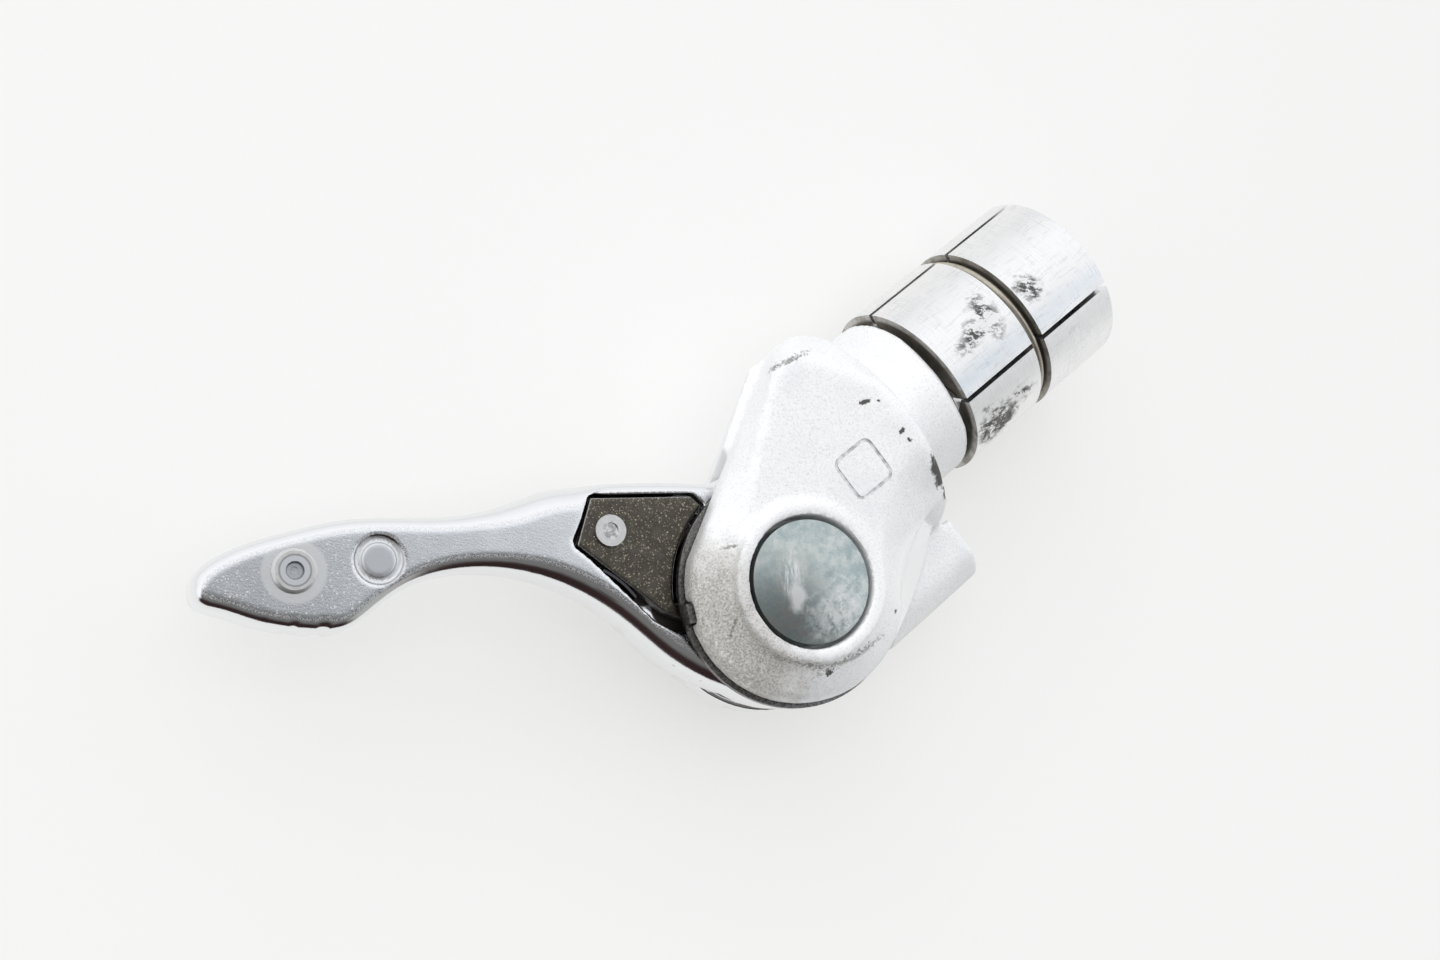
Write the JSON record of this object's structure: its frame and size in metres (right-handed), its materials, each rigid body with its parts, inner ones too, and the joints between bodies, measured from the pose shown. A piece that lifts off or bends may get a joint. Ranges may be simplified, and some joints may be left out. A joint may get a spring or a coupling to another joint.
{
  "type": "bar end lever shifter",
  "caption": "Bar-end lever shifter: a cast pod with a long curved lever on a cross pivot, a friction ratchet, a cable lug and an expanding four-piece plug for the bar's open end.",
  "frame": {"origin": "plug's axis at the shoulder face that meets the bar's end", "axes": "+X along the plug, out of the pod into the bar; +Z along the lever's pivot, toward the domed pin head; the part lies on its -Z face"},
  "size_m": [0.0899, 0.0458, 0.0238],
  "materials": {
    "pod_paint": "satin silver paint over die-cast alloy",
    "pin_zinc": "zinc plated, worn on the dome",
    "black_steel": "black oxide",
    "bush_bronze": "sintered bronze",
    "disc_steel": "dark blackened steel",
    "washer_polymer": "acetal, off-white",
    "hard_steel": "hardened steel",
    "lever_alloy": "forged, polished edges and a brushed face",
    "pawl_steel": "hardened, dark brown-grey",
    "rivet_steel": "bright",
    "spring_steel": "bright spring steel",
    "bolt_zinc": "zinc plated",
    "plug_alloy": "turned, polished",
    "ring_wire": "spring wire, stained",
    "guide_polymer": "black acetal"
  },
  "bodies": {
    "pod": {"body": "pod_paint", "pivot_pin": "pin_zinc", "pivot_screw": "black_steel", "lock_washer": "black_steel", "pivot_bush": "bush_bronze", "cover_disc": "disc_steel", "friction_washers": "washer_polymer", "thrust_washer": "washer_polymer", "near_wedge": "plug_alloy", "bolt_washer": "bolt_zinc", "cable_guide": "guide_polymer"},
    "lever": {"lever": "lever_alloy", "pawl_rivet": "rivet_steel", "pawl_spring": "spring_steel", "paddle_rivet": "rivet_steel"},
    "pawl": {"drive_pawl": "pawl_steel"},
    "ratchet": {"ratchet_wheel": "hard_steel"},
    "bolt": {"expander_bolt": "bolt_zinc"},
    "far_wedge": {"far_wedge": "plug_alloy"},
    "segment_1": {"segment_1": "plug_alloy"},
    "segment_2": {"segment_2": "plug_alloy"},
    "segment_3": {"segment_3": "plug_alloy"},
    "segment_4": {"segment_4": "plug_alloy"},
    "ring": {"segment_ring": "ring_wire"}
  },
  "joints": [
    {"name": "lever_swing", "type": "hinge", "parent": "pod", "child": "lever", "pos_m": [-0.0182, -0.0063, 0], "axis": [0, 0, 1], "range_deg": [0, 103]},
    {"name": "pawl_rock", "type": "hinge", "parent": "lever", "child": "pawl", "pos_m": [-0.02861, 0.0083, 0.004], "axis": [0, 0, 1], "range_deg": [-5.5, 0], "stiffness_Nm_per_rad": 0.002, "springref_deg": 1.15, "deforming": ["pawl_spring"]},
    {"name": "ratchet_turn", "type": "hinge", "parent": "pod", "child": "ratchet", "pos_m": [-0.0182, -0.0063, 0], "axis": [0, 0, 1], "range_deg": [0, 103]},
    {"name": "bolt_turn", "type": "hinge", "parent": "pod", "child": "bolt", "pos_m": [0, 0, 0], "axis": [1, 0, 0], "range_deg": [0, 504.01]},
    {"name": "wedge_draw", "type": "slide", "parent": "pod", "child": "far_wedge", "axis": [-1, 0, 0], "range_m": [0, 0.0014]},
    {"name": "spread_1", "type": "slide", "parent": "pod", "child": "segment_1", "axis": [-0.866, 0.2073, 0.455], "range_m": [0, 0.00080839]},
    {"name": "spread_2", "type": "slide", "parent": "pod", "child": "segment_2", "axis": [-0.866, -0.455, 0.2073], "range_m": [0, 0.00080839]},
    {"name": "spread_3", "type": "slide", "parent": "pod", "child": "segment_3", "axis": [-0.866, -0.2073, -0.455], "range_m": [0, 0.00080839]},
    {"name": "spread_4", "type": "slide", "parent": "pod", "child": "segment_4", "axis": [-0.866, 0.455, -0.2073], "range_m": [0, 0.00080839]},
    {"name": "ring_slide", "type": "slide", "parent": "pod", "child": "ring", "axis": [-1, 0, 0], "range_m": [0, 0.0007001]}
  ],
  "couplings": [
    {"joint": "ratchet_turn", "follows": "lever_swing", "ratio": 1},
    {"joint": "bolt_turn", "follows": "wedge_draw", "rad_per_m": 6283.2},
    {"joint": "spread_1", "follows": "wedge_draw", "ratio": 0.57735},
    {"joint": "spread_2", "follows": "wedge_draw", "ratio": 0.57735},
    {"joint": "spread_3", "follows": "wedge_draw", "ratio": 0.57735},
    {"joint": "spread_4", "follows": "wedge_draw", "ratio": 0.57735},
    {"joint": "ring_slide", "follows": "wedge_draw", "ratio": 0.5}
  ]
}
